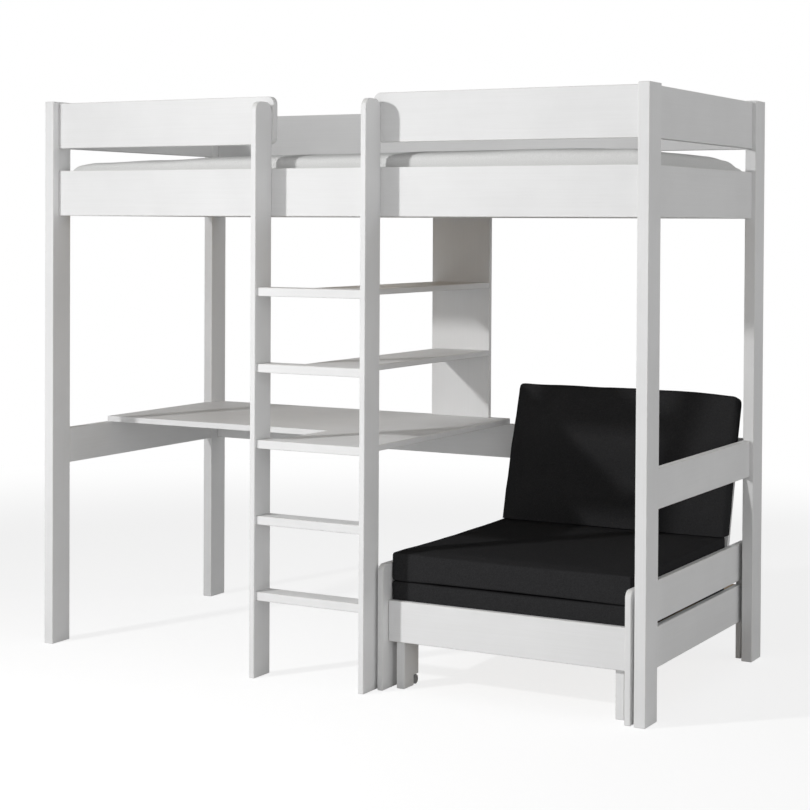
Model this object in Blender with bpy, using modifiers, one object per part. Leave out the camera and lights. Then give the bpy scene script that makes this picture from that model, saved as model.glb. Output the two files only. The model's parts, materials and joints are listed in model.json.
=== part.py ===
# Loft bed with a desk, two shelves and a pull-out chair bed that stands under it.
# Metres, +Z up. X runs along the bed, from the desk end to the chair end. Y runs
# from the ladder side to the wall side. The origin is on the floor, under the middle
# of the whole footprint, which takes in the ladder.

import math

import bmesh
import bpy
from mathutils import Matrix, Vector

# Loft frame: outer sizes and the sections of its boards
bed_length = 2.080
bed_width = 1.012
bed_height = 1.766
post_thick = 0.034
post_depth = 0.090
board_thick = 0.022
rail_height = 0.146
guard_height = 0.146
guard_gap = 0.073
post_over_guard = 0.005
side_set_back = 0.028
stretcher_height = 0.114
stretcher_top = 0.699
edge_round = 0.0015

# Clearances: between touching pieces, and past the face of a cut
fit_gap = 0.0003
cut_overrun = 0.010

# Slatted base and mattress
batten_width = 0.025
batten_height = 0.025
slat_count = 14
slat_width = 0.070
slat_thick = 0.018
tape_width = 0.030
tape_thick = 0.002
tape_set_in = 0.150
mattress_end_gap = 0.006
mattress_side_gap = 0.006
mattress_thick = 0.140

# Ladder in front of the long side. Its rungs are evenly spaced: one more step above
# the top rung would come just over the rail's lower edge.
ladder_reach = 0.062
ladder_clear = 0.361
stile_thick = 0.018
stile_below_post = 0.024
stile_radius = 0.030
rung_count = 5
step_over_rail_edge = 0.0023
rung_thick = 0.026
rung_depth = 0.072
rung_set_back = 0.010
rung_housing = 0.006
guard_past_stile = 0.007
guard_end_radius = 0.022

# Desk top, back board and shelves; the desk is level with the middle rung
desk_thick = 0.018
desk_depth = 0.663
desk_left_lap = 0.016
desk_rear_lap = 0.016
desk_wing_width = 0.329
desk_rung = 3
shelf_thick = 0.018
shelf_width = 0.200
shelf_inset = 0.064
back_board_width = 0.218
back_board_thick = 0.018
upper_shelf_rung = 5
lower_shelf_rung = 4

# Chair bed: the fixed part
chair_clearance = 0.009
chair_post_gap = 0.012
chair_width = 0.793
chair_set_back = 0.006
chair_rear_gap = 0.015
chair_board = 0.018
chair_leg_depth = 0.090
chair_rear_leg_depth = 0.042
chair_leg_height = 0.372
chair_leg_radius = 0.022
chair_rail_height = 0.1175
chair_rail_bottom = 0.1205
chair_side_slot = 0.014
beam_height = 0.038
beam_thick = 0.022
seat_slat_width = 0.050
seat_slat_thick = 0.018
seat_slat_drop = 0.0067
seat_slat_least_gap = 0.006

# Chair bed: the part that pulls out
panel_set_back = 0.032
panel_height = 0.121
panel_bottom = 0.142
slide_clearance = 0.001
pull_leg_thick = 0.026
pull_leg_depth = 0.090
pull_leg_under_beam = 0.0027
pull_leg_inset = 0.020
pull_leg_radius = 0.030
cross_height = 0.024
cross_run_out = 0.004
wheel_radius = 0.014
wheel_width = 0.009
wheel_lift = 0.0015
wheel_back = 0.016
wheel_pocket_gap = 0.0015
wheel_side_gap = 0.0005
axle_radius = 0.003
axle_seat = 0.005
packing_inset = 0.003
packing_housing = 0.003

# Cushions and the backrest that the back cushion leans on
cushion_thick = 0.086
cushion_rear_room = 0.145
cushion_side_gap = 0.003
cushion_crown = 0.005
cushion_pull = 0.004
cushion_edge = 0.030
centre_loop_share = 0.4
back_cushion_shift = 0.0075
back_cushion_height = 0.452
back_cushion_thick = 0.076
back_stretcher_gap = 0.0032
back_lean = math.radians(15)
backrest_post_width = 0.045
backrest_thick = 0.018
backrest_below = 0.090
backrest_under_stretcher = 0.014
backrest_rail_shares = ((0.11, 0.42), (0.61, 0.92))

# Bolts that hold the ladder
bolt_radius = 0.003
bolt_reach = 0.045
head_radius = 0.008
head_height = 0.005
head_recess = 0.001
hole_clearance = 0.0004
rod_sides = 12
wheel_sides = 24

# Places along X, from the bed's left end
left_end = -bed_length / 2
right_end = bed_length / 2
left_post_face = left_end + post_thick
right_post_face = right_end - post_thick
chair_right = right_post_face - chair_post_gap
chair_left = chair_right - chair_width
chair_inner_left = chair_left + chair_board
chair_inner_right = chair_right - chair_board
chair_middle = (chair_left + chair_right) / 2
stile_right_face = chair_left - chair_clearance - stile_thick
stile_left_face = stile_right_face - ladder_clear
beam_left = chair_inner_left + fit_gap
beam_right = chair_inner_right - fit_gap
ledger_left = chair_inner_left + slide_clearance
ledger_right = chair_inner_right - slide_clearance

# Places along Y: the ladder stands out in front of the posts
ladder_front = -(bed_width + ladder_reach) / 2
bed_front = ladder_front + ladder_reach
bed_rear = bed_front + bed_width
front_post_back = bed_front + post_depth
rear_post_front = bed_rear - post_depth
rail_front_y = bed_front + side_set_back
rail_front_inner = rail_front_y + board_thick
rail_rear_outer = bed_rear - side_set_back
rail_rear_inner = rail_rear_outer - board_thick
rung_front = ladder_front + rung_set_back
rung_back = rung_front + rung_depth
chair_front = bed_front + chair_set_back
chair_rear = bed_rear - chair_rear_gap
panel_front = chair_front + panel_set_back
panel_back = panel_front + chair_board
seat_front = panel_back + slide_clearance
seat_back = chair_rear - cushion_rear_room
front_beam_y = panel_back + beam_thick + cross_run_out
rear_beam_y = chair_rear - beam_thick - chair_board
cross_y = rear_beam_y - beam_thick - cross_run_out

# Heights
guard_top = bed_height - post_over_guard
guard_bottom = guard_top - guard_height
rail_top = guard_bottom - guard_gap
rail_bottom = rail_top - rail_height
slat_bottom = rail_bottom + batten_height + fit_gap
mattress_bottom = slat_bottom + slat_thick + fit_gap
stretcher_bottom = stretcher_top - stretcher_height
desk_bottom = stretcher_top + fit_gap
desk_top_z = desk_bottom + desk_thick
desk_middle = desk_bottom + desk_thick / 2
stile_top = bed_height - stile_below_post
rungs_above_desk = rung_count - desk_rung
rung_pitch = (rail_bottom + step_over_rail_edge - desk_middle) / (rungs_above_desk + 1)
chair_rail_top = chair_rail_bottom + chair_rail_height
upper_rail_bottom = chair_rail_top + chair_side_slot
upper_rail_top = upper_rail_bottom + chair_rail_height
seat_slat_top = chair_rail_top - seat_slat_drop
seat_slat_bottom = seat_slat_top - seat_slat_thick
beam_top = seat_slat_bottom - fit_gap
pull_leg_height = beam_top - beam_height - pull_leg_under_beam
lower_cushion_bottom = seat_slat_top + fit_gap
upper_cushion_bottom = lower_cushion_bottom + cushion_thick + fit_gap
upper_cushion_top = upper_cushion_bottom + cushion_thick

for old in list(bpy.data.objects):
    bpy.data.objects.remove(old, do_unlink=True)

parts = bpy.data.collections.new("loft_bed")
cutters = bpy.data.collections.new("cutters")
bpy.context.scene.collection.children.link(parts)
bpy.context.scene.collection.children.link(cutters)


def finish(name, colour, roughness, metallic=0.0):
    look = bpy.data.materials.new(name)
    look.use_nodes = True
    shader = look.node_tree.nodes["Principled BSDF"]
    shader.inputs["Base Color"].default_value = (*colour, 1.0)
    shader.inputs["Roughness"].default_value = roughness
    shader.inputs["Metallic"].default_value = metallic
    return look


white_wood = finish("white_lacquered_wood", (0.80, 0.80, 0.79), 0.45)
slat_wood = finish("plain_slat_wood", (0.62, 0.47, 0.30), 0.60)
white_cloth = finish("white_mattress_cloth", (0.78, 0.78, 0.77), 0.90)
black_cloth = finish("black_cushion_cloth", (0.012, 0.012, 0.013), 0.85)
steel = finish("zinc_plated_steel", (0.55, 0.56, 0.58), 0.35, 1.0)
grey_plastic = finish("grey_wheel_plastic", (0.06, 0.06, 0.06), 0.50)


def place(name, mesh_data, look, collection=parts):
    mesh = bpy.data.meshes.new(name)
    mesh_data.to_mesh(mesh)
    mesh_data.free()
    body = bpy.data.objects.new(name, mesh)
    if look is not None:
        mesh.materials.append(look)
    collection.objects.link(body)
    return body


def add_block(data, low, high):
    size = Vector(high) - Vector(low)
    middle = (Vector(high) + Vector(low)) / 2
    scaled = Matrix.Translation(middle) @ Matrix.Diagonal((*size, 1.0))
    bmesh.ops.create_cube(data, size=1.0, matrix=scaled)


def block(low, high):
    data = bmesh.new()
    add_block(data, low, high)
    return data


def soften(body):
    bevel = body.modifiers.new("edges", "BEVEL")
    bevel.width = edge_round
    bevel.segments = 1
    bevel.limit_method = "ANGLE"
    bevel.angle_limit = math.radians(40)
    return body


# A board between two opposite corners, with its long edges eased
def board(name, low, high, look=white_wood):
    return soften(place(name, block(low, high), look))


# A board with some of its corners rounded. The corners run along one axis, and
# each is named by its signs along the other two axes.
def rounded_board(name, low, high, along, corners, radius, look=white_wood):
    data = block(low, high)
    middle = (Vector(high) + Vector(low)) / 2
    across = [axis for axis in range(3) if axis != along]
    chosen = []
    for edge in data.edges:
        start, end = (vertex.co for vertex in edge.verts)
        point = (start + end) / 2 - middle
        signs = tuple(1 if point[axis] > 0 else -1 for axis in across)
        runs_along = abs((end - start).normalized()[along]) > 0.9
        if runs_along and signs in corners:
            chosen.append(edge)
    bmesh.ops.bevel(data, geom=chosen, offset=radius, segments=6, profile=0.5, affect="EDGES")
    return soften(place(name, data, look))


# Round rods, and the holes that they sit in
def add_rod(data, start, end, radius, sides=rod_sides):
    start, end = Vector(start), Vector(end)
    run = end - start
    turn = run.to_track_quat("Z", "Y").to_matrix().to_4x4()
    matrix = Matrix.Translation((start + end) / 2) @ turn
    bmesh.ops.create_cone(data, cap_ends=True, segments=sides, radius1=radius,
                          radius2=radius, depth=run.length, matrix=matrix)


# A round head whose under face is drawn in and pulled out into the shank
def headed_pin(top, under, tip, wide, narrow, sides):
    data = bmesh.new()
    add_rod(data, top, under, wide, sides)
    run = Vector(tip) - Vector(under)
    cap = max(data.faces, key=lambda face: face.calc_center_median().dot(run))
    bmesh.ops.inset_region(data, faces=[cap], thickness=wide - narrow)
    shank = bmesh.ops.extrude_discrete_faces(data, faces=[cap])["faces"][0]
    bmesh.ops.translate(data, verts=shank.verts, vec=run)
    return data


def combine(body, name, shape, operation):
    helper = place(name, shape, None, cutters)
    helper.hide_render = True
    helper.display_type = "WIRE"
    modifier = body.modifiers.new(name, "BOOLEAN")
    modifier.operation = operation
    modifier.solver = "EXACT"
    modifier.object = helper


def cut(body, name, shape):
    combine(body, name, shape, "DIFFERENCE")


def drill(body, name, start, end, radius):
    data = bmesh.new()
    add_rod(data, start, end, radius + hole_clearance)
    cut(body, name, data)


# Posts, rails, guards and stretchers
def make_posts():
    for side, low_x in (("left", left_end), ("right", right_post_face)):
        for row, low_y in (("front", bed_front), ("rear", rear_post_front)):
            high = (low_x + post_thick, low_y + post_depth, bed_height)
            board("post_" + row + "_" + side, (low_x, low_y, 0), high)


# A board along X. The front guard's two lengths have one rounded end each.
def long_board(name, row, low_x, high_x, bottom, height, rounded_end=0):
    low_y = rail_front_y if row == "front" else rail_rear_inner
    low = (low_x, low_y, bottom)
    high = (high_x, low_y + board_thick, bottom + height)
    if rounded_end:
        ends = ((rounded_end, 1), (rounded_end, -1))
        rounded_board(name, low, high, 1, ends, guard_end_radius)
    else:
        board(name, low, high)


# A board along Y at one end of the bed; its inner face is flush with the posts'
def end_board(name, side, bottom, height):
    low_x = left_post_face - board_thick if side == "left" else right_post_face
    low = (low_x, front_post_back + fit_gap, bottom)
    high = (low_x + board_thick, rear_post_front - fit_gap, bottom + height)
    board(name, low, high)


def make_frame():
    low_x = left_post_face + fit_gap
    high_x = right_post_face - fit_gap
    long_board("side_rail_front", "front", low_x, high_x, rail_bottom, rail_height)
    long_board("side_rail_rear", "rear", low_x, high_x, rail_bottom, rail_height)
    left_stop = stile_left_face + guard_past_stile
    right_stop = stile_right_face - guard_past_stile
    long_board("guard_front_left", "front", low_x, left_stop, guard_bottom, guard_height, 1)
    long_board("guard_front_right", "front", right_stop, high_x, guard_bottom, guard_height, -1)
    long_board("guard_rear", "rear", low_x, high_x, guard_bottom, guard_height)
    long_board("stretcher_rear", "rear", low_x, high_x, stretcher_bottom, stretcher_height)
    for side in ("left", "right"):
        end_board("end_rail_" + side, side, rail_bottom, rail_height)
        end_board("end_guard_" + side, side, guard_bottom, guard_height)
        end_board("stretcher_" + side, side, stretcher_bottom, stretcher_height)


# Battens along the long rails, and slats across them on two tapes
def make_base():
    low_x = left_post_face + fit_gap
    high_x = right_post_face - fit_gap
    front_y = rail_front_inner + fit_gap
    rear_y = rail_rear_inner - fit_gap
    for row, low_y in (("front", front_y), ("rear", rear_y - batten_width)):
        high = (high_x, low_y + batten_width, rail_bottom + batten_height)
        board("slat_batten_" + row, (low_x, low_y, rail_bottom), high)
    pitch = (high_x - low_x - slat_width) / (slat_count - 1)
    data = bmesh.new()
    for index in range(slat_count):
        start_x = low_x + index * pitch
        low = (start_x, front_y, slat_bottom)
        add_block(data, low, (start_x + slat_width, rear_y, slat_bottom + slat_thick))
    slats = soften(place("mattress_slats", data, slat_wood))
    tapes = bmesh.new()
    tape_bottom = slat_bottom + tape_thick
    for low_y in (front_y + tape_set_in, rear_y - tape_set_in - tape_width):
        low = (low_x + slat_width / 2, low_y, tape_bottom)
        high = (high_x - slat_width / 2, low_y + tape_width, tape_bottom + tape_thick)
        add_block(tapes, low, high)
    combine(slats, "slat_tapes", tapes, "UNION")


# Ladder: two stiles with housings for the ends of the rungs
def rung_middle(number):
    return desk_middle + (number - desk_rung) * rung_pitch


def make_ladder():
    back = rail_front_y - fit_gap
    upper_corners = ((-1, 1), (1, 1))
    for side, low_x in (("left", stile_left_face - stile_thick), ("right", stile_right_face)):
        low = (low_x, ladder_front, 0)
        high = (low_x + stile_thick, back, stile_top)
        stile = rounded_board("ladder_stile_" + side, low, high, 0, upper_corners, stile_radius)
        inner = stile_left_face if side == "left" else stile_right_face
        pockets = bmesh.new()
        for number in range(1, rung_count + 1):
            bottom = rung_middle(number) - rung_thick / 2
            low = (inner - rung_housing, rung_front - fit_gap, bottom - fit_gap)
            high = (inner + rung_housing, rung_back + fit_gap, bottom + rung_thick + fit_gap)
            add_block(pockets, low, high)
        cut(stile, "housings_" + side, pockets)
    tip = rung_housing - fit_gap
    for number in range(1, rung_count + 1):
        bottom = rung_middle(number) - rung_thick / 2
        low = (stile_left_face - tip, rung_front, bottom)
        high = (stile_right_face + tip, rung_back, bottom + rung_thick)
        board("ladder_rung_" + str(number), low, high)


# Bolts from inside the front boards into the stiles' rear edges
def make_ladder_bolts():
    rail = bpy.data.objects["side_rail_front"]
    for side, middle_x in (("left", stile_left_face - stile_thick / 2),
                           ("right", stile_right_face + stile_thick / 2)):
        guard = bpy.data.objects["guard_front_" + side]
        stile = bpy.data.objects["ladder_stile_" + side]
        for carrier, height in ((rail, rail_bottom + rail_height / 2),
                                (guard, guard_bottom + guard_height / 2)):
            top = Vector((middle_x, rail_front_inner - head_recess, height))
            under = top - Vector((0, head_height, 0))
            tip = Vector((middle_x, rail_front_y - bolt_reach, height))
            name = "ladder_bolt_" + side + ("_rail" if carrier == rail else "_guard")
            pin = headed_pin(top, under, tip, head_radius, bolt_radius, rod_sides)
            place(name, pin, steel)
            outside = top + Vector((0, cut_overrun, 0))
            seat = Vector((0, fit_gap, 0))
            drill(carrier, name + "_head", outside, under - seat, head_radius)
            drill(carrier, name + "_shank", under, rail_passage(tip), bolt_radius)
            drill(stile, name + "_hole", under, tip - seat, bolt_radius)


def rail_passage(tip):
    return Vector((tip.x, rail_front_y - cut_overrun, tip.z))


# Desk top, back board and shelves
def make_desk():
    low_x = left_post_face - desk_left_lap
    high_x = stile_right_face - fit_gap
    rear = rail_rear_inner + desk_rear_lap
    front = rear - desk_depth
    wing_front = rung_back + fit_gap
    top = board("desk_top", (low_x, wing_front, desk_bottom), (high_x, rear, desk_top_z))
    knee = block((low_x - cut_overrun, wing_front - cut_overrun, desk_bottom - cut_overrun),
                 (high_x - desk_wing_width, front, desk_top_z + cut_overrun))
    cut(top, "desk_knee_space", knee)
    corner = block((low_x - cut_overrun, rear_post_front - fit_gap, desk_bottom - cut_overrun),
                   (left_post_face + fit_gap, bed_rear, desk_top_z + cut_overrun))
    cut(top, "desk_post_corner", corner)
    shelf_right = high_x - shelf_inset
    shelf_left = shelf_right - shelf_width
    board_back = rail_rear_inner - fit_gap
    board_front = board_back - back_board_thick
    board("back_board", (shelf_right - back_board_width, board_front, desk_top_z + fit_gap),
          (shelf_right, board_back, rail_bottom - fit_gap))
    for name, number in (("shelf_upper", upper_shelf_rung), ("shelf_lower", lower_shelf_rung)):
        middle = rung_middle(number)
        low = (shelf_left, wing_front, middle - shelf_thick / 2)
        board(name, low, (shelf_right, board_front - fit_gap, middle + shelf_thick / 2))


# Chair bed: side frames, beams and the slats that stay
def make_chair():
    for side, low_x in (("left", chair_left), ("right", chair_inner_right)):
        high_x = low_x + chair_board
        leg_back = chair_front + chair_leg_depth
        rear_leg = chair_rear - chair_rear_leg_depth
        high = (high_x, leg_back, chair_leg_height)
        rounded_board("chair_leg_front_" + side, (low_x, chair_front, 0), high,
                      0, ((-1, 1),), chair_leg_radius)
        board("chair_leg_rear_" + side, (low_x, rear_leg, 0), (high_x, chair_rear, upper_rail_top))
        for level, bottom in (("lower", chair_rail_bottom), ("upper", upper_rail_bottom)):
            low = (low_x, leg_back + fit_gap, bottom)
            high = (high_x, rear_leg - fit_gap, bottom + chair_rail_height)
            board("chair_rail_" + level + "_" + side, low, high)
    low = (beam_left, front_beam_y, beam_top - beam_height)
    board("chair_beam_front", low, (beam_right, front_beam_y + beam_thick, beam_top))


# A comb: slats on one beam under their rear ends, each on a thin packing piece that
# keeps the beam clear of the other comb. The two combs' slats lie turn and turn about,
# as many as the room between the side boards takes, with a fixed one at each side.
def slat_comb(name, first, low_y, beam_low, beam_high):
    room = chair_inner_right - chair_inner_left
    least_pitch = seat_slat_width + seat_slat_least_gap
    total = 2 * int((room + seat_slat_width) / (2 * least_pitch)) - 1
    space = (room - total * seat_slat_width) / (total + 1)
    slat_end = beam_high[1] - edge_round
    data = bmesh.new()
    packing = bmesh.new()
    for index in range(first, total, 2):
        low_x = chair_inner_left + space + index * (seat_slat_width + space)
        high_x = low_x + seat_slat_width
        add_block(data, (low_x, low_y, seat_slat_bottom), (high_x, slat_end, seat_slat_top))
        low = (low_x + packing_inset, beam_low[1] + packing_inset, beam_top - packing_housing)
        high = (high_x - packing_inset, beam_high[1] - packing_inset,
                seat_slat_bottom + packing_housing)
        add_block(packing, low, high)
    slats = soften(place(name, data, slat_wood))
    combine(slats, name + "_packing", packing, "UNION")
    combine(slats, name + "_beam", block(beam_low, beam_high), "UNION")


def make_seat_slats():
    low = (beam_left, rear_beam_y, beam_top - beam_height)
    slat_comb("chair_slats", 0, seat_front, low, (beam_right, rear_beam_y + beam_thick, beam_top))
    low = (ledger_left, cross_y, beam_top - cross_height)
    high = (ledger_right, cross_y + beam_thick, beam_top)
    slat_comb("pull_slats", 1, panel_back + fit_gap, low, high)


# The front panel, its legs and the ledger that carries the moving slats
def make_pull_out():
    low = (ledger_left, panel_front, panel_bottom)
    board("pull_panel", low, (ledger_right, panel_back, panel_bottom + panel_height))
    ledger_y = panel_back + fit_gap
    low = (ledger_left, ledger_y, beam_top - cross_height)
    board("pull_ledger", low, (ledger_right, ledger_y + beam_thick, beam_top))
    leg_back = ledger_y + pull_leg_depth
    axle_y = leg_back - wheel_back
    axle_z = wheel_radius + wheel_lift
    pocket_depth = wheel_width + 2 * wheel_side_gap
    reach = wheel_radius + wheel_pocket_gap
    for side, sign in (("left", 1), ("right", -1)):
        side_board = chair_inner_left if sign > 0 else chair_inner_right
        outer = side_board + sign * pull_leg_inset
        inner = outer + sign * pull_leg_thick
        low = (min(outer, inner), ledger_y, 0)
        high = (max(outer, inner), leg_back, pull_leg_height)
        leg = rounded_board("pull_leg_" + side, low, high, 0, ((1, -1),), pull_leg_radius)
        floor = inner - sign * pocket_depth
        open_side = inner + sign * cut_overrun
        pocket_low = (min(floor, open_side), axle_y - reach, -cut_overrun)
        pocket_high = (max(floor, open_side), leg_back + cut_overrun, axle_z + reach)
        cut(leg, "wheel_pocket_" + side, block(pocket_low, pocket_high))
        hub = Vector((floor + sign * (wheel_side_gap + wheel_width), axle_y, axle_z))
        step = Vector((sign, 0, 0))
        tip = Vector((floor, axle_y, axle_z)) - step * axle_seat
        drill(leg, "axle_" + side, hub, tip - step * fit_gap, axle_radius)
        under = -step * wheel_width
        pin = headed_pin((0, 0, 0), under, tip - hub, wheel_radius, axle_radius, wheel_sides)
        place("wheel_" + side, pin, grey_plastic).location = hub


# A soft block. Its top is crowned, its sides are drawn in between the corners,
# and its under side stays flat, so that it lies on what carries it.
def cushion_mesh(size, crown):
    half = Vector(size) / 2
    data = block(-half, half)
    for axis in range(3):
        edge = half[axis] - min(cushion_edge, half[axis] / 2)
        loops = (edge, half[axis] * centre_loop_share) if axis < 2 else (edge,)
        for distance in loops:
            for sign in (-1, 1):
                point = Vector((0, 0, 0))
                point[axis] = sign * distance
                normal = Vector((0, 0, 0))
                normal[axis] = 1
                geometry = data.verts[:] + data.edges[:] + data.faces[:]
                bmesh.ops.bisect_plane(data, geom=geometry, plane_co=point, plane_no=normal)
    for vertex in data.verts:
        x_share = vertex.co.x / half.x
        y_share = vertex.co.y / half.y
        fall = 1 - (1 - x_share ** 2) * (1 - y_share ** 2)
        if vertex.co.z > 0:
            vertex.co.z -= crown * fall * vertex.co.z / half.z
        vertex.co.x -= cushion_pull * x_share * (1 - y_share ** 2)
        vertex.co.y -= cushion_pull * y_share * (1 - x_share ** 2)
    return data


def cushion(name, low, high, look, crown=cushion_crown):
    size = Vector(high) - Vector(low)
    body = place(name, cushion_mesh(size, crown), look)
    body.location = (Vector(high) + Vector(low)) / 2
    smooth_cushion(body)


def smooth_cushion(body):
    soft = body.modifiers.new("soft", "SUBSURF")
    soft.levels = 1
    soft.render_levels = 1
    body.data.shade_smooth()


def make_cushions():
    low = (left_post_face + mattress_end_gap, rail_front_inner + mattress_side_gap,
           mattress_bottom)
    high = (right_post_face - mattress_end_gap, rail_rear_inner - mattress_side_gap,
            mattress_bottom + mattress_thick)
    cushion("loft_mattress", low, high, white_cloth)
    low_x = chair_inner_left + cushion_side_gap
    high_x = chair_inner_right - cushion_side_gap
    low = (low_x, seat_front, lower_cushion_bottom)
    high = (high_x, seat_back, lower_cushion_bottom + cushion_thick)
    cushion("seat_cushion_lower", low, high, black_cloth, 0)
    low = (low_x, seat_front, upper_cushion_bottom)
    cushion("seat_cushion_upper", low, (high_x, seat_back, upper_cushion_top), black_cloth)


# Everything that leans is laid out in the backrest's own frame: its X is the
# chair's, its Z runs up the slope and its Y points back, square to the slope. Its
# origin is the back cushion's lower rear edge, level with the seat's top, and far
# enough back that the cushion stops just short of the rear stretcher.
def leaning_frame():
    foot = upper_cushion_top + 2 * fit_gap
    run_back = (stretcher_top - foot) * math.tan(back_lean)
    origin = Vector((chair_middle, rail_rear_inner - back_stretcher_gap - run_back, foot))
    return Matrix.Translation(origin) @ Matrix.Rotation(-back_lean, 4, "X")


# The back cushion leans, but it is soft, so its under side lies level on the seat.
# The mesh is made lying down: its Y is the height and its Z the thickness.
def back_cushion_mesh(width):
    size = (width, back_cushion_height, back_cushion_thick)
    data = cushion_mesh(size, cushion_crown)
    foot = -back_cushion_height / 2
    for vertex in data.verts:
        height_share = 1 - (vertex.co.y - foot) / back_cushion_height
        if height_share > 0.5:
            sink = (vertex.co.z + back_cushion_thick / 2) * math.tan(back_lean)
            vertex.co.y -= sink * (2 * height_share - 1)
    return data


def make_backrest():
    lean = leaning_frame()
    back_cushion_width = chair_inner_right - chair_inner_left
    pillow = place("back_cushion", back_cushion_mesh(back_cushion_width), black_cloth)
    half_height = back_cushion_height / 2
    middle = Vector((back_cushion_shift, -back_cushion_thick / 2, half_height))
    upright = Matrix.Rotation(math.radians(90), 4, "X")
    pillow.matrix_world = lean @ Matrix.Translation(middle) @ upright
    smooth_cushion(pillow)
    half = chair_middle - chair_inner_left - fit_gap
    inner = half - backrest_post_width
    post_rise = stretcher_bottom - backrest_under_stretcher - lean.translation.z
    backrest_above = post_rise / math.cos(back_lean)
    for side, low_x, high_x in (("left", -half, -inner), ("right", inner, half)):
        post = board("backrest_post_" + side, (low_x, fit_gap, -backrest_below),
                     (high_x, fit_gap + backrest_thick, backrest_above))
        post.matrix_world = lean
    for level, (start, end) in zip(("lower", "upper"), backrest_rail_shares):
        low = (-inner + fit_gap, fit_gap, start * backrest_above)
        high = (inner - fit_gap, fit_gap + backrest_thick, end * backrest_above)
        board("backrest_rail_" + level, low, high).matrix_world = lean


make_posts()
make_frame()
make_base()
make_ladder()
make_ladder_bolts()
make_desk()
make_chair()
make_seat_slats()
make_pull_out()
make_cushions()
make_backrest()
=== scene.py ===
import json
import math

import bmesh
import bpy
from mathutils import Matrix, Vector, noise
from mathutils.bvhtree import BVHTree


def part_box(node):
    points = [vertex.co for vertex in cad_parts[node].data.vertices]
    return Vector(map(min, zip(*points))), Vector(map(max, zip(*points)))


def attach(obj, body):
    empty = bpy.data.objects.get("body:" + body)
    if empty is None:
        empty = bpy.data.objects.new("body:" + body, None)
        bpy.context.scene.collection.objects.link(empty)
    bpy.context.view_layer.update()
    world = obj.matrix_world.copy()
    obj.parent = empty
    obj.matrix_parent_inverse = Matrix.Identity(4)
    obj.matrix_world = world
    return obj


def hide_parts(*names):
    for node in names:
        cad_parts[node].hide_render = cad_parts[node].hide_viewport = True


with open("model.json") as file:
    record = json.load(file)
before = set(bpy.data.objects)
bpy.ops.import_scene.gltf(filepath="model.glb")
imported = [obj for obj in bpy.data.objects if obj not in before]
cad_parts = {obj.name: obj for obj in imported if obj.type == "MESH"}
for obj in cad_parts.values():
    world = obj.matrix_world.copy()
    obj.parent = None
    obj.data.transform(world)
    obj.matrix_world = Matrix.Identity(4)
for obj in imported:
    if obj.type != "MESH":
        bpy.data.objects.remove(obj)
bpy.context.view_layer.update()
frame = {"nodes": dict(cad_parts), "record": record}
nodes = frame["nodes"]
scene = bpy.context.scene
millimetre = 0.001


# an sRGB hex colour as Blender's linear values
def hexColour(code):
    parts = [int(code[i:i + 2], 16) / 255 for i in (1, 3, 5)]
    linear = [c / 12.92 if c <= 0.04045 else ((c + 0.055) / 1.055) ** 2.4 for c in parts]
    return (*linear, 1.0)


# adds a node: settings are its own properties, inputs its values, links its sources
def addNode(tree, kind, inputs=None, links=None, stops=(), **settings):
    node = tree.nodes.new(kind)
    for name, value in settings.items():
        setattr(node, name, value)
    for name, value in (inputs or {}).items():
        node.inputs[name].default_value = value
    for name, socket in (links or {}).items():
        tree.links.new(socket, node.inputs[name])
    for point, (position, colour) in zip(node.color_ramp.elements if stops else (), stops):
        point.position = position
        point.color = colour
    return node


def newMaterial(name):
    look = bpy.data.materials.new(name)
    look.use_nodes = True
    return look, look.node_tree, look.node_tree.nodes["Principled BSDF"]


def setShader(shader, **values):
    for name, value in values.items():
        shader.inputs[name.replace("_", " ")].default_value = value


# the scale of a noise or cell pattern whose marks have this real size
def patternScale(sizeMm):
    return 1 / (sizeMm * millimetre)


# a finished mesh as an object at the origin
def addPiece(name, data, look, smooth=True):
    mesh = bpy.data.meshes.new(name)
    data.to_mesh(mesh)
    data.free()
    piece = bpy.data.objects.new(name, mesh)
    scene.collection.objects.link(piece)
    mesh.materials.append(look)
    if smooth:
        mesh.shade_smooth()
    return piece


# the mesh that an object gives with its modifiers
def finishedMesh(piece):
    graph = bpy.context.evaluated_depsgraph_get()
    return bpy.data.meshes.new_from_object(piece.evaluated_get(graph))


def applyModifiers(piece):
    result = finishedMesh(piece)
    piece.modifiers.clear()
    piece.data = result


# Two-coat acrylic lacquer sprayed on planed pine: a plain white between matt and satin.
# The grain is filled but still shows faintly along each board, and the coat is thinner
# and a little warmer on the eased edges.
lacquer = {"colour": "#E8E8E8", "shade": "#E4E4E4", "edge": "#DEDDDA", "edgeShare": 0.6,
           "roughness": 0.55, "smoother": 0.06, "rougher": 0.08, "specular": 0.2, "ior": 1.49,
           "grainWidthMm": 5, "grainLengthMm": 260, "grainTint": (0.978, 0.977, 0.974, 1),
           "grainBump": 0.14, "grainDepthMm": 0.3, "stippleMm": 1.8, "stippleBump": 0.12,
           "stippleDepthMm": 0.2, "blotchMm": 240}


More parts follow.
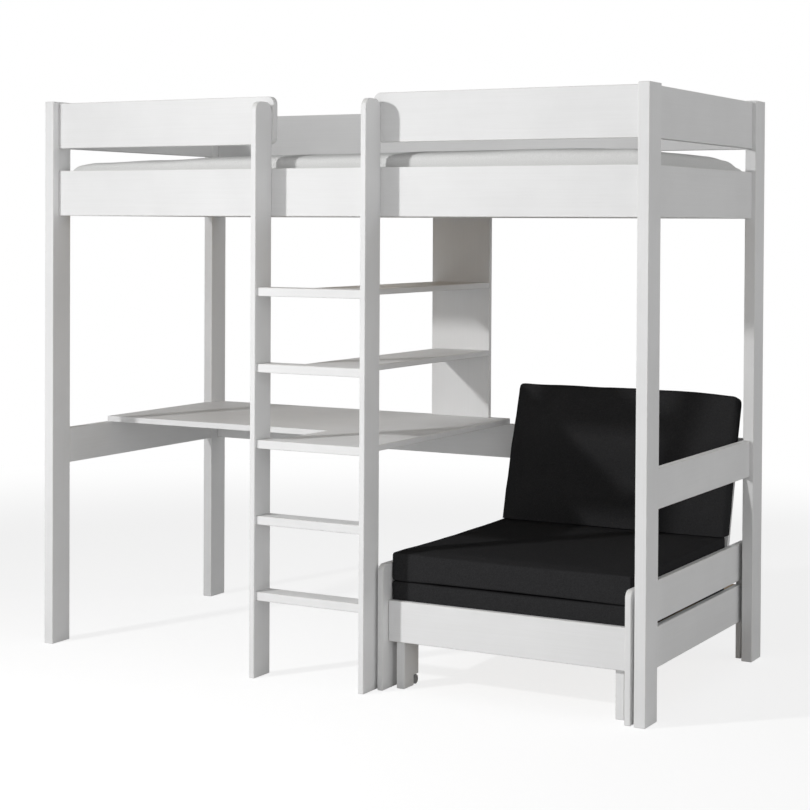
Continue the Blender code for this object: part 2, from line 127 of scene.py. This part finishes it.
def whiteLacquer(name, along):
    look, tree, shader = newMaterial(name)
    place = addNode(tree, "ShaderNodeTexCoord").outputs["Object"]
    stretch = [1.0, 1.0, 1.0]
    stretch["XYZ".index(along)] = lacquer["grainWidthMm"] / lacquer["grainLengthMm"]
    mapped = addNode(tree, "ShaderNodeMapping", {"Scale": stretch}, {"Vector": place})
    grain = addNode(tree, "ShaderNodeTexNoise",
                    {"Scale": patternScale(lacquer["grainWidthMm"]), "Detail": 5.0,
                     "Roughness": 0.62, "Distortion": 0.6}, {"Vector": mapped.outputs[0]})
    stipple = addNode(tree, "ShaderNodeTexNoise",
                      {"Scale": patternScale(lacquer["stippleMm"]), "Detail": 2.0},
                      {"Vector": place})
    blotch = addNode(tree, "ShaderNodeTexNoise",
                     {"Scale": patternScale(lacquer["blotchMm"]), "Detail": 3.0},
                     {"Vector": place})
    tone = addNode(tree, "ShaderNodeValToRGB", links={"Fac": blotch.outputs["Fac"]},
                   stops=((0.35, hexColour(lacquer["shade"])),
                          (0.6, hexColour(lacquer["colour"]))))
    grainTone = addNode(tree, "ShaderNodeValToRGB", links={"Fac": grain.outputs["Fac"]},
                        stops=((0.3, lacquer["grainTint"]), (0.62, (1, 1, 1, 1))))
    tinted = addNode(tree, "ShaderNodeMix", {"Factor": 1.0}, data_type="RGBA",
                     blend_type="MULTIPLY")
    tree.links.new(tone.outputs["Color"], tinted.inputs["A"])
    tree.links.new(grainTone.outputs["Color"], tinted.inputs["B"])
    # the eased edges are the only faces that don't square up with an axis
    normal = addNode(tree, "ShaderNodeNewGeometry").outputs["True Normal"]
    parts = addNode(tree, "ShaderNodeSeparateXYZ", links={"Vector": normal})
    sizes = [addNode(tree, "ShaderNodeMath", operation="ABSOLUTE",
                     links={0: parts.outputs[axis]}).outputs[0] for axis in "XYZ"]
    pair = addNode(tree, "ShaderNodeMath", operation="MAXIMUM",
                   links={0: sizes[0], 1: sizes[1]})
    most = addNode(tree, "ShaderNodeMath", operation="MAXIMUM",
                   links={0: pair.outputs[0], 1: sizes[2]})
    eased = addNode(tree, "ShaderNodeMapRange",
                    {"From Min": 0.97, "From Max": 0.80, "To Max": lacquer["edgeShare"]},
                    {"Value": most.outputs[0]})
    worn = addNode(tree, "ShaderNodeMix", data_type="RGBA")
    tree.links.new(eased.outputs[0], worn.inputs["Factor"])
    tree.links.new(tinted.outputs["Result"], worn.inputs["A"])
    worn.inputs["B"].default_value = hexColour(lacquer["edge"])
    rough = addNode(tree, "ShaderNodeMapRange",
                    {"To Min": lacquer["roughness"] - lacquer["smoother"],
                     "To Max": lacquer["roughness"] + lacquer["rougher"]},
                    {"Value": grain.outputs["Fac"]})
    low = addNode(tree, "ShaderNodeBump",
                  {"Strength": lacquer["grainBump"],
                   "Distance": lacquer["grainDepthMm"] * millimetre},
                  {"Height": grain.outputs["Fac"]})
    fine = addNode(tree, "ShaderNodeBump",
                   {"Strength": lacquer["stippleBump"],
                    "Distance": lacquer["stippleDepthMm"] * millimetre},
                   {"Height": stipple.outputs["Fac"], "Normal": low.outputs[0]})
    tree.links.new(worn.outputs["Result"], shader.inputs["Base Color"])
    tree.links.new(rough.outputs[0], shader.inputs["Roughness"])
    tree.links.new(fine.outputs[0], shader.inputs["Normal"])
    setShader(shader, IOR=lacquer["ior"], Specular_IOR_Level=lacquer["specular"])
    return look


# Planed spruce slats: pale yellow wood, fine even grain along the slat, no finish
spruce = {"light": "#DCC296", "dark": "#B8925F", "grainWidthMm": 4, "grainLengthMm": 200,
          "grainBump": 0.5, "grainDepthMm": 0.5, "roughness": 0.62, "ior": 1.5}


def spruceSlat(name):
    look, tree, shader = newMaterial(name)
    place = addNode(tree, "ShaderNodeTexCoord").outputs["Object"]
    stretch = (1, spruce["grainWidthMm"] / spruce["grainLengthMm"], 1)
    mapped = addNode(tree, "ShaderNodeMapping", {"Scale": stretch}, {"Vector": place})
    grain = addNode(tree, "ShaderNodeTexNoise",
                    {"Scale": patternScale(spruce["grainWidthMm"]), "Detail": 6.0,
                     "Roughness": 0.6, "Distortion": 0.8}, {"Vector": mapped.outputs[0]})
    tone = addNode(tree, "ShaderNodeValToRGB", links={"Fac": grain.outputs["Fac"]},
                   stops=((0.32, hexColour(spruce["dark"])),
                          (0.62, hexColour(spruce["light"]))))
    bump = addNode(tree, "ShaderNodeBump",
                   {"Strength": spruce["grainBump"],
                    "Distance": spruce["grainDepthMm"] * millimetre},
                   {"Height": grain.outputs["Fac"]})
    tree.links.new(tone.outputs["Color"], shader.inputs["Base Color"])
    tree.links.new(bump.outputs[0], shader.inputs["Normal"])
    setShader(shader, Roughness=spruce["roughness"], IOR=spruce["ior"])
    return look


# Plain woven cotton: dull, with no shine, and a little uneven where its yarn thickens.
# The real threads, about half a millimetre, are far too fine for a picture of the whole
# bed, so the weave is drawn much coarser, as crossing ribs ribMm apart.
blackCloth = {"light": "#343435", "dark": "#262627", "ribMm": 10.05, "slubMm": 3.0,
              "drapeMm": 90, "roughness": 0.95, "specular": 0.0, "sheen": 0.0,
              "weaveBump": 0.4, "drapeBump": 0.1}
whiteCloth = {"light": "#DBDBDA", "dark": "#D1D1D0", "ribMm": 12.57, "slubMm": 4.0,
              "drapeMm": 120, "roughness": 0.9, "specular": 0.1, "sheen": 0.05,
              "weaveBump": 0.3, "drapeBump": 0.15}
clothDepths = {"weaveMm": 0.5, "drapeMm": 6}
waveLength = math.tau / 20  # of a Wave texture at scale 1


def wovenCloth(name, cloth):
    look, tree, shader = newMaterial(name)
    place = addNode(tree, "ShaderNodeTexCoord").outputs["Object"]
    # ribs along X and Z cross on upright faces, and those along Y cover the rest
    ribs = [addNode(tree, "ShaderNodeTexWave",
                    {"Scale": waveLength / (cloth["ribMm"] * millimetre), "Distortion": 0.4,
                     "Detail": 1.0, "Detail Scale": 2.0}, {"Vector": place},
                    wave_type="BANDS", bands_direction=axis).outputs["Fac"] for axis in "XZY"]
    crossed = addNode(tree, "ShaderNodeMath", links={0: ribs[0], 1: ribs[1]},
                      operation="MULTIPLY")
    weave = addNode(tree, "ShaderNodeMath", links={0: crossed.outputs[0], 1: ribs[2]},
                    operation="MAXIMUM")
    slub = addNode(tree, "ShaderNodeTexNoise",
                   {"Scale": patternScale(cloth["slubMm"]), "Detail": 6.0, "Roughness": 0.7},
                   {"Vector": place})
    drape = addNode(tree, "ShaderNodeTexNoise",
                    {"Scale": patternScale(cloth["drapeMm"]), "Detail": 2.0},
                    {"Vector": place})
    tone = addNode(tree, "ShaderNodeValToRGB", links={"Fac": slub.outputs["Fac"]},
                   stops=((0.3, hexColour(cloth["dark"])), (0.68, hexColour(cloth["light"]))))
    low = addNode(tree, "ShaderNodeBump",
                  {"Strength": cloth["drapeBump"],
                   "Distance": clothDepths["drapeMm"] * millimetre},
                  {"Height": drape.outputs["Fac"]})
    fine = addNode(tree, "ShaderNodeBump",
                   {"Strength": cloth["weaveBump"],
                    "Distance": clothDepths["weaveMm"] * millimetre},
                   {"Height": weave.outputs[0], "Normal": low.outputs[0]})
    tree.links.new(tone.outputs["Color"], shader.inputs["Base Color"])
    tree.links.new(fine.outputs[0], shader.inputs["Normal"])
    setShader(shader, Roughness=cloth["roughness"], Specular_IOR_Level=cloth["specular"],
              Sheen_Weight=cloth["sheen"], Sheen_Roughness=0.5,
              Sheen_Tint=hexColour(cloth["light"]))
    return look


# Zinc-plated steel: cool grey metal with a fine crystalline mottle
zinc = {"colour": "#B9BCC0", "dark": "#9DA1A6", "crystalMm": 1.2, "roughness": 0.34}


def zincSteel(name):
    look, tree, shader = newMaterial(name)
    place = addNode(tree, "ShaderNodeTexCoord").outputs["Object"]
    crystals = addNode(tree, "ShaderNodeTexVoronoi",
                       {"Scale": patternScale(zinc["crystalMm"])}, {"Vector": place})
    tone = addNode(tree, "ShaderNodeValToRGB", links={"Fac": crystals.outputs["Distance"]},
                   stops=((0.1, hexColour(zinc["dark"])), (0.6, hexColour(zinc["colour"]))))
    tree.links.new(tone.outputs["Color"], shader.inputs["Base Color"])
    setShader(shader, Metallic=1.0, Roughness=zinc["roughness"])
    return look


# Moulded nylon wheels: mid grey, with the fine matte grain of the mould
nylon = {"colour": "#A2A2A3", "dark": "#8A8A8C", "grainMm": 0.8, "grainBump": 0.3,
         "grainDepthMm": 0.2, "roughness": 0.5, "ior": 1.53}


def mouldedNylon(name):
    look, tree, shader = newMaterial(name)
    place = addNode(tree, "ShaderNodeTexCoord").outputs["Object"]
    mould = addNode(tree, "ShaderNodeTexNoise", {"Scale": patternScale(nylon["grainMm"])},
                    {"Vector": place})
    tone = addNode(tree, "ShaderNodeValToRGB", links={"Fac": mould.outputs["Fac"]},
                   stops=((0.3, hexColour(nylon["dark"])), (0.7, hexColour(nylon["colour"]))))
    bump = addNode(tree, "ShaderNodeBump",
                   {"Strength": nylon["grainBump"],
                    "Distance": nylon["grainDepthMm"] * millimetre},
                   {"Height": mould.outputs["Fac"]})
    tree.links.new(tone.outputs["Color"], shader.inputs["Base Color"])
    tree.links.new(bump.outputs[0], shader.inputs["Normal"])
    setShader(shader, Roughness=nylon["roughness"], IOR=nylon["ior"])
    return look


lacquerAlong = {axis: whiteLacquer("white_lacquer_along_" + axis.lower(), axis)
                for axis in "XYZ"}
blackLook = wovenCloth("black_woven_cotton", blackCloth)
whiteLook = wovenCloth("white_cotton_ticking", whiteCloth)
lookOf = {"slat_wood": spruceSlat("planed_spruce"), "steel": zincSteel("zinc_plated_steel"),
          "wheel_plastic": mouldedNylon("grey_moulded_nylon"), "black_cloth": blackLook,
          "white_cloth": whiteLook}
print("materials made")


# The boards and fittings keep their CAD shape. Lacquered ones have their grain along
# their longest side.
for part in frame["record"]["subparts"]:
    low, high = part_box(part["node"])
    longest = "XYZ"[max(range(3), key=lambda axis: high[axis] - low[axis])]
    slots = nodes[part["node"]].data.materials
    slots.clear()
    slots.append(lookOf.get(part["material_slot"], lacquerAlong[longest]))
print("boards dressed")


# lowest and highest corner of a node, measured in a frame that leans back about X
def leaningBox(name, lean):
    back = Matrix.Rotation(-lean, 3, "X").inverted()
    points = [back @ vertex.co for vertex in nodes[name].data.vertices]
    low = Vector([min(p[a] for p in points) for a in range(3)])
    high = Vector([max(p[a] for p in points) for a in range(3)])
    return low, high


foamGrid = {"edgeRow": 0.45, "cutReach": 0.00001, "mergeReach": 0.0002}


# A block of foam with rounded edges, cut into an even grid for its cover. One more row
# of the grid lies in each rounded edge.
def foamBlock(name, low, high, pad, look):
    data = bmesh.new()
    size = high - low - Vector((2, 2, 2)) * pad["startInset"]
    middle = (low + high) / 2
    shape = Matrix.Translation(middle) @ Matrix.Diagonal((*size, 1.0))
    bmesh.ops.create_cube(data, size=1.0, matrix=shape)
    radius = pad["edgeRadius"]
    row = radius * foamGrid["edgeRow"]
    for axis in range(3):
        start = middle[axis] - size[axis] / 2
        count = max(2, round((size[axis] - 2 * radius) / pad["grid"]))
        step = (size[axis] - 2 * radius) / count
        inner = [radius + step * k for k in range(count + 1)]
        across = Vector([1.0 if a == axis else 0.0 for a in range(3)])
        for place in [row] + inner + [size[axis] - row]:
            at = Vector(middle)
            at[axis] = start + place
            bmesh.ops.bisect_plane(data, geom=data.verts[:] + data.edges[:] + data.faces[:],
                                   plane_co=at, plane_no=across, dist=foamGrid["cutReach"])
    reach = size / 2 - Vector((radius, radius, radius))
    for vertex in data.verts:
        away = vertex.co - middle
        core = Vector([min(max(away[a], -reach[a]), reach[a]) for a in range(3)])
        out = away - core
        if out.length > 0:
            vertex.co = middle + core + out.normalized() * radius
    bmesh.ops.remove_doubles(data, verts=data.verts, dist=foamGrid["mergeReach"])
    bmesh.ops.recalc_face_normals(data, faces=data.faces)
    return addPiece(name, data, look)


puffSettings = {"quality": 3, "mass": 0.3, "stiffness": 15, "bending": 0.5, "shrink": -0.02,
                "frames": 20}


# The cover is blown up a little over the foam, and no point moves past the pad's cap
def puffCover(block, pad):
    rest = [vertex.co.copy() for vertex in block.data.vertices]
    cloth = block.modifiers.new("cloth", "CLOTH")
    cloth.settings.quality = puffSettings["quality"]
    cloth.settings.mass = puffSettings["mass"]
    cloth.settings.tension_stiffness = puffSettings["stiffness"]
    cloth.settings.compression_stiffness = puffSettings["stiffness"]
    cloth.settings.shear_stiffness = puffSettings["stiffness"] / 2
    cloth.settings.bending_stiffness = puffSettings["bending"]
    cloth.settings.shrink_min = puffSettings["shrink"]
    cloth.settings.use_pressure = True
    cloth.settings.uniform_pressure_force = pad["pressure"]
    cloth.settings.effector_weights.gravity = 0
    cloth.collision_settings.use_collision = False
    cloth.collision_settings.use_self_collision = False
    cloth.point_cache.frame_start = 1
    cloth.point_cache.frame_end = puffSettings["frames"]
    for step in range(1, puffSettings["frames"] + 1):
        scene.frame_set(step)
    applyModifiers(block)
    for vertex, start in zip(block.data.vertices, rest):
        moved = vertex.co - start
        if moved.length > pad["cap"]:
            vertex.co = start + moved * (pad["cap"] / moved.length)
    scene.frame_set(1)


# a height read off a short list of (place, height) pairs
def heightAt(place, knots):
    if place <= knots[0][0]:
        return knots[0][1]
    for (x0, h0), (x1, h1) in zip(knots, knots[1:]):
        if place <= x1:
            share = (place - x0) / (x1 - x0)
            return h0 + (h1 - h0) * share * share * (3 - 2 * share)
    return knots[-1][1]


coverForm = {"domeEdge": 4, "domeDepth": 2, "pullEdge": 6, "fineCreases": 3.1,
             "fineShare": 0.35}


# Crown and rolls of the filling, the border pulled in between its corners, and the
# cover's soft creases, all in parts of the pad's own size
def shapeCover(block, low, high, pad):
    middle = (low + high) / 2
    half = (high - low) / 2
    thin = pad["thinAxis"]
    wide = [a for a in range(3) if a != thin]
    creaseSize = pad["creaseMm"] * millimetre
    outward = [vertex.normal.copy() for vertex in block.data.vertices]
    for vertex, out in zip(block.data.vertices, outward):
        share = [(vertex.co[a] - middle[a]) / half[a] for a in range(3)]
        dome = 1
        for axis in wide:
            dome *= 1 - min(1, abs(share[axis])) ** coverForm["domeEdge"]
        if share[thin] > 0:
            lift = pad["crownHigh"]
        else:
            lift = -pad["crownLow"] - heightAt(share[wide[1]], pad["rolls"])
        vertex.co[thin] += lift * dome * min(1, abs(share[thin])) ** coverForm["domeDepth"]
        for here, other in (wide, wide[::-1]):
            between = 1 - min(1, share[other] ** 2)
            pulled = pad["pullIn"] * between * abs(share[here]) ** coverForm["pullEdge"]
            vertex.co[here] -= pulled if share[here] > 0 else -pulled
        crease = noise.noise(vertex.co / creaseSize)
        fine = noise.noise(vertex.co * coverForm["fineCreases"] / creaseSize)
        vertex.co += out * (crease + coverForm["fineShare"] * fine) * pad["creaseDepth"]


# the slope of the top, a corner that droops, and sides that lean out
def sagCover(block, low, high, pad):
    for vertex in block.data.vertices:
        share = (vertex.co.z - low.z) / (high.z - low.z)
        across = (vertex.co.x - low.x) / (high.x - low.x)
        droop = (heightAt(vertex.co.y, pad["rearCorner"])
                 * heightAt(vertex.co.x, pad["cornerAlong"]))
        vertex.co.z += share * (heightAt(vertex.co.x, pad["topAlong"]) + droop)
        vertex.co.x -= (1 - across) ** 2 * heightAt(share, pad["leftOut"])
        vertex.co.x += across ** 2 * heightAt(share, pad["rightOut"])


# keeps the cover close to its CAD solid, flat where it rests on something, and flat on
# top from where something rests on it
def settle(block, low, high, pad):
    side = pad["sideProud"]
    for vertex in block.data.vertices:
        place = vertex.co
        x = min(max(place.x, low.x - side), high.x + side)
        y = min(max(place.y, low.y - pad["frontProud"]), high.y + pad["rearProud"])
        free = min(1, max(0, (pad["loadedFrom"] - y) / pad["loadedFade"]))
        z = min(max(place.z, low.z - pad["underProud"]), high.z + pad["topProud"] * free)
        vertex.co = (x, y, z)


def smoothOnce(block):
    soft = block.modifiers.new("soft", "SUBSURF")
    soft.levels = 1
    soft.render_levels = 1
    applyModifiers(block)
    block.data.shade_smooth()


weltForm = {"cornerSteps": 6, "sink": 0.5, "roundness": 2}


# A sewn seam round a pad, where its top (level 1) or under side (level -1) meets the
# border
def welt(name, block, low, high, level, pad, look):
    cover = BVHTree.FromPolygons([v.co for v in block.data.vertices],
                                 [p.vertices for p in block.data.polygons])
    middle = (low + high) / 2
    half = (high - low) / 2
    corner = pad["cornerRadius"]
    path = []
    for sx, sy in ((1, 1), (-1, 1), (-1, -1), (1, -1)):
        start = math.atan2(sy, sx) - math.pi / 4
        for step in range(weltForm["cornerSteps"] + 1):
            angle = start + step * math.pi / (2 * weltForm["cornerSteps"])
            path.append(Vector((sx * (half.x - corner) + corner * math.cos(angle),
                                sy * (half.y - corner) + corner * math.sin(angle), 0)))
    dense = []
    for here, ahead in zip(path, path[1:] + path[:1]):
        count = max(1, int((ahead - here).length / pad["seamStep"]))
        dense += [here.lerp(ahead, k / count) for k in range(count)]
    curve = bpy.data.curves.new(name, "CURVE")
    curve.dimensions = "3D"
    curve.bevel_depth = pad["weltRadius"]
    curve.bevel_resolution = weltForm["roundness"]
    line = curve.splines.new("POLY")
    line.use_cyclic_u = True
    line.points.add(len(dense) - 1)
    sink = pad["weltRadius"] * weltForm["sink"]
    for place, point in zip(line.points, dense):
        aim = Vector((point.x + middle.x, point.y + middle.y, middle.z + level * half.z))
        found, normal = cover.find_nearest(aim)[:2]
        place.co = (*(found - normal * sink), 1)
    rope = bpy.data.objects.new(name, curve)
    scene.collection.objects.link(rope)
    bpy.context.view_layer.update()
    mesh = finishedMesh(rope)
    bpy.data.objects.remove(rope)
    piece = bpy.data.objects.new(name, mesh)
    mesh.materials.clear()
    mesh.materials.append(look)
    mesh.shade_smooth()
    scene.collection.objects.link(piece)
    return piece


def makePad(name, node, body, pad, look, lean=0.0):
    low, high = leaningBox(node, lean)
    low.z -= pad["footExtra"]
    high.z -= pad["headLess"]
    block = foamBlock(name, low, high, pad, look)
    puffCover(block, pad)
    shapeCover(block, low, high, pad)
    sagCover(block, low, high, pad)
    settle(block, low, high, pad)
    smoothOnce(block)
    pieces = [block]
    for level in pad["welts"]:
        tag = "Top" if level > 0 else "Under"
        pieces.append(welt(name + tag + "Welt", block, low, high, level, pad, look))
    turn = Matrix.Rotation(-lean, 4, "X")
    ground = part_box(node)[0].z
    for piece in pieces:
        piece.data.transform(turn)
        for vertex in piece.data.vertices:
            vertex.co.z = max(vertex.co.z, ground)
        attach(piece, body)
    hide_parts(node)
    print(name, len(block.data.vertices), "vertices")


# Sizes in metres. The ...Proud values say how far a cover may stand past its solid, cap
# how far its cloth may move, and startInset how much smaller its block starts. footExtra
# and headLess lower a pad's foot and head. A list of pairs gives a height or a shift at
# places along X or Y, for rolls from -1 to 1 up the pad, and for the sides from 0 to 1.
# The back cushion rests on the seat from loadedFrom to the wall.
even = ((0.0, 0.0),)
seatPad = {"startInset": 0.0, "edgeRadius": 0.009, "grid": 0.010, "pressure": 0.25,
           "cap": 0.004, "sideProud": 0.0018, "frontProud": 0.0018, "rearProud": 0.0018,
           "underProud": 0.0, "topProud": 0.005, "loadedFrom": 0.31, "loadedFade": 0.04,
           "footExtra": 0.0, "headLess": 0.0, "thinAxis": 2, "crownHigh": 0.004,
           "crownLow": 0.0, "rolls": even, "pullIn": 0.0015, "creaseMm": 130,
           "creaseDepth": 0.0012, "topAlong": even, "rearCorner": even, "cornerAlong": even,
           "leftOut": even, "rightOut": even, "welts": (1,), "weltRadius": 0.0013,
           "cornerRadius": 0.010, "seamStep": 0.02, "fill": 0.85}
lowerPad = {**seatPad, "crownHigh": 0.0, "topProud": 0.0}
# The back cushion leans, so it is made upright and turned. It sags a little to the right.
backPad = {**seatPad, "startInset": 0.0045, "edgeRadius": 0.016, "sideProud": 0.009,
           "frontProud": 0.010, "rearProud": 0.0, "underProud": 0.009, "topProud": 0.009,
           "loadedFrom": math.inf, "footExtra": 0.030, "headLess": 0.0095, "thinAxis": 1,
           "crownHigh": 0.0, "crownLow": 0.006, "creaseMm": 150, "creaseDepth": 0.003,
           "rolls": ((-0.85, 0.0), (-0.62, 0.006), (-0.26, -0.007), (0.14, 0.006),
                     (0.7, -0.003), (1.0, 0.0)),
           "topAlong": ((0.76, 0.0), (0.97, -0.0085)),
           "leftOut": ((0.1, 0.0085), (0.5, 0.0075), (0.95, 0.0)),
           "rightOut": ((0.1, 0.002), (0.5, 0.002), (0.95, 0.005)), "welts": ()}
backLean = math.radians(15)
# The mattress slopes down towards its left end and at its rear right corner
mattressPad = {**seatPad, "edgeRadius": 0.026, "grid": 0.016, "pressure": 0.10, "cap": 0.006,
               "topProud": 0.014, "loadedFrom": math.inf, "crownHigh": 0.006,
               "topAlong": ((-1.0, -0.045), (-0.955, -0.017), (-0.90, -0.011),
                            (-0.675, -0.007), (-0.40, 0.0), (0.10, 0.003), (0.43, 0.006),
                            (0.68, 0.010), (0.96, 0.008), (1.0, 0.006)),
               "rearCorner": ((0.20, 0.0), (0.32, -0.008), (0.42, -0.028), (0.48, -0.045)),
               "cornerAlong": ((0.60, 0.0), (0.95, 1.0)), "welts": (-1,),
               "weltRadius": 0.0022, "cornerRadius": 0.030, "fill": 0.8}

makePad("seatCushionLower", "seat_cushion_lower", "chair_base", lowerPad, blackLook)
makePad("seatCushionUpper", "seat_cushion_upper", "upper_cushion", seatPad, blackLook)
makePad("backCushion", "back_cushion", "chair_base", backPad, blackLook,
        backLean)
makePad("mattress", "loft_mattress", "loft_frame", mattressPad, whiteLook)
print("cushions made")


# The floor lights the bed as a plain pale one, and is seen white with a soft shadow
floorSettings = {"size": 30.0, "sides": 64, "colour": "#E0E0E0", "seenColour": "#8E8E8E",
                 "glow": 0.80, "nearFade": 2.6, "farFade": 5.0}


def makeFloor():
    data = bmesh.new()
    bmesh.ops.create_circle(data, cap_ends=True, segments=floorSettings["sides"],
                            radius=floorSettings["size"])
    look, tree, shader = newMaterial("pale_floor")
    floor = addPiece("floor", data, look, smooth=False)
    tree.nodes.remove(shader)
    out = tree.nodes["Material Output"]
    plain = addNode(tree, "ShaderNodeBsdfDiffuse",
                    {"Color": hexColour(floorSettings["colour"])})
    glow = addNode(tree, "ShaderNodeEmission", {"Strength": floorSettings["glow"]})
    white = addNode(tree, "ShaderNodeEmission", {"Strength": 1.0})
    shaded = addNode(tree, "ShaderNodeBsdfDiffuse",
                     {"Color": hexColour(floorSettings["seenColour"])})
    seen = addNode(tree, "ShaderNodeAddShader",
                   links={0: shaded.outputs[0], 1: glow.outputs[0]})
    place = addNode(tree, "ShaderNodeTexCoord").outputs["Object"]
    away = addNode(tree, "ShaderNodeVectorMath", links={0: place}, operation="LENGTH")
    fade = addNode(tree, "ShaderNodeMapRange",
                   {"From Min": floorSettings["nearFade"],
                    "From Max": floorSettings["farFade"]},
                   {"Value": away.outputs["Value"]}, interpolation_type="SMOOTHSTEP")
    far = addNode(tree, "ShaderNodeMixShader",
                  links={0: fade.outputs[0], 1: seen.outputs[0], 2: white.outputs[0]})
    rays = addNode(tree, "ShaderNodeLightPath")
    both = addNode(tree, "ShaderNodeMixShader",
                   links={0: rays.outputs["Is Camera Ray"], 1: plain.outputs[0],
                          2: far.outputs[0]})
    tree.links.new(both.outputs[0], out.inputs["Surface"])


# A small studio lamp to the left in front, aimed along the front of the bed, a wide weak
# fill from the right, and a room that is brightest in front and near the floor
lightSettings = {"keyPlace": (-2.1, -3.75, 2.7), "keyAim": (1.054, -3.746, 0.24),
                 "keyPower": 662, "keyCone": 178, "keyRadius": 0.12,
                 "fillStrength": 1.15, "fillAngle": 90, "fillAim": (-1, 0, -0.05),
                 "roomLow": 0.66, "roomHigh": 0.155, "fadeHeight": 0.56,
                 "roomFront": 1.5, "roomBack": 0.32, "turnDepth": 0.8}


# the turn that points a lamp along a direction
def turnAlong(direction):
    return direction.to_track_quat("-Z", "Y").to_euler()


def makeLight():
    world = bpy.data.worlds.new("studio")
    scene.world = world
    world.use_nodes = True
    tree = world.node_tree
    room = tree.nodes["Background"]
    room.inputs["Color"].default_value = (1, 1, 1, 1)
    place = addNode(tree, "ShaderNodeTexCoord").outputs["Generated"]
    parts = addNode(tree, "ShaderNodeSeparateXYZ", links={"Vector": place})
    level = addNode(tree, "ShaderNodeMapRange",
                    {"From Min": 0.0, "From Max": lightSettings["fadeHeight"],
                     "To Min": lightSettings["roomLow"], "To Max": lightSettings["roomHigh"]},
                    {"Value": parts.outputs["Z"]}, interpolation_type="SMOOTHSTEP")
    depth = addNode(tree, "ShaderNodeMapRange",
                    {"From Min": -lightSettings["turnDepth"],
                     "From Max": lightSettings["turnDepth"],
                     "To Min": lightSettings["roomFront"],
                     "To Max": lightSettings["roomBack"]}, {"Value": parts.outputs["Y"]})
    power = addNode(tree, "ShaderNodeMath", links={0: level.outputs[0], 1: depth.outputs[0]},
                    operation="MULTIPLY")
    tree.links.new(power.outputs[0], room.inputs["Strength"])
    # what the camera, mirrors and glass see is plain white
    backdrop = addNode(tree, "ShaderNodeBackground",
                       {"Color": (1, 1, 1, 1), "Strength": 1.0})
    rays = addNode(tree, "ShaderNodeLightPath")
    glossy = addNode(tree, "ShaderNodeMath", operation="MAXIMUM",
                     links={0: rays.outputs["Is Camera Ray"],
                            1: rays.outputs["Is Glossy Ray"]})
    shown = addNode(tree, "ShaderNodeMath", operation="MAXIMUM",
                    links={0: glossy.outputs[0], 1: rays.outputs["Is Transmission Ray"]})
    mixed = addNode(tree, "ShaderNodeMixShader",
                    links={0: shown.outputs[0], 1: room.outputs[0], 2: backdrop.outputs[0]})
    tree.links.new(mixed.outputs[0], tree.nodes["World Output"].inputs["Surface"])
    lamp = bpy.data.lights.new("key", "SPOT")
    lamp.energy = lightSettings["keyPower"]
    lamp.spot_size = math.radians(lightSettings["keyCone"])
    lamp.spot_blend = 1.0
    lamp.shadow_soft_size = lightSettings["keyRadius"]
    key = bpy.data.objects.new("key", lamp)
    scene.collection.objects.link(key)
    key.location = Vector(lightSettings["keyPlace"])
    key.rotation_euler = turnAlong(Vector(lightSettings["keyAim"]) - key.location)
    key.visible_camera = False
    soft = bpy.data.lights.new("fill", "SUN")
    soft.energy = lightSettings["fillStrength"]
    soft.angle = math.radians(lightSettings["fillAngle"])
    fill = bpy.data.objects.new("fill", soft)
    scene.collection.objects.link(fill)
    fill.rotation_euler = turnAlong(Vector(lightSettings["fillAim"]))


# Angles in degrees. focal and middle are in pixels of a frame that many pixels wide.
cameraSettings = {"place": (2.9132, -5.3748, 1.3780), "yaw": 29.8155, "pitch": 1.0271,
                  "roll": 0.2688, "focal": 1909.14, "middle": (350.0, 256.8), "frame": 810,
                  "sensor": 36.0}


def makeCamera():
    yaw, pitch, roll = (math.radians(cameraSettings[k]) for k in ("yaw", "pitch", "roll"))
    forward = Vector((-math.sin(yaw) * math.cos(pitch), math.cos(yaw) * math.cos(pitch),
                      -math.sin(pitch)))
    level = Vector((math.cos(yaw), math.sin(yaw), 0))
    upright = level.cross(forward)
    across = math.cos(roll) * level + math.sin(roll) * upright
    up = math.cos(roll) * upright - math.sin(roll) * level
    lens = bpy.data.cameras.new("camera")
    width = cameraSettings["frame"]
    lens.sensor_width = cameraSettings["sensor"]
    lens.lens = cameraSettings["focal"] / width * cameraSettings["sensor"]
    lens.shift_x = (width / 2 - cameraSettings["middle"][0]) / width
    lens.shift_y = (cameraSettings["middle"][1] - width / 2) / width
    camera = bpy.data.objects.new("camera", lens)
    scene.collection.objects.link(camera)
    turn = Matrix((across, up, -forward)).transposed().to_4x4()
    camera.matrix_world = Matrix.Translation(cameraSettings["place"]) @ turn
    scene.camera = camera


makeFloor()
makeLight()
makeCamera()
scene.view_settings.view_transform = "Standard"
print("floor, light and camera made")
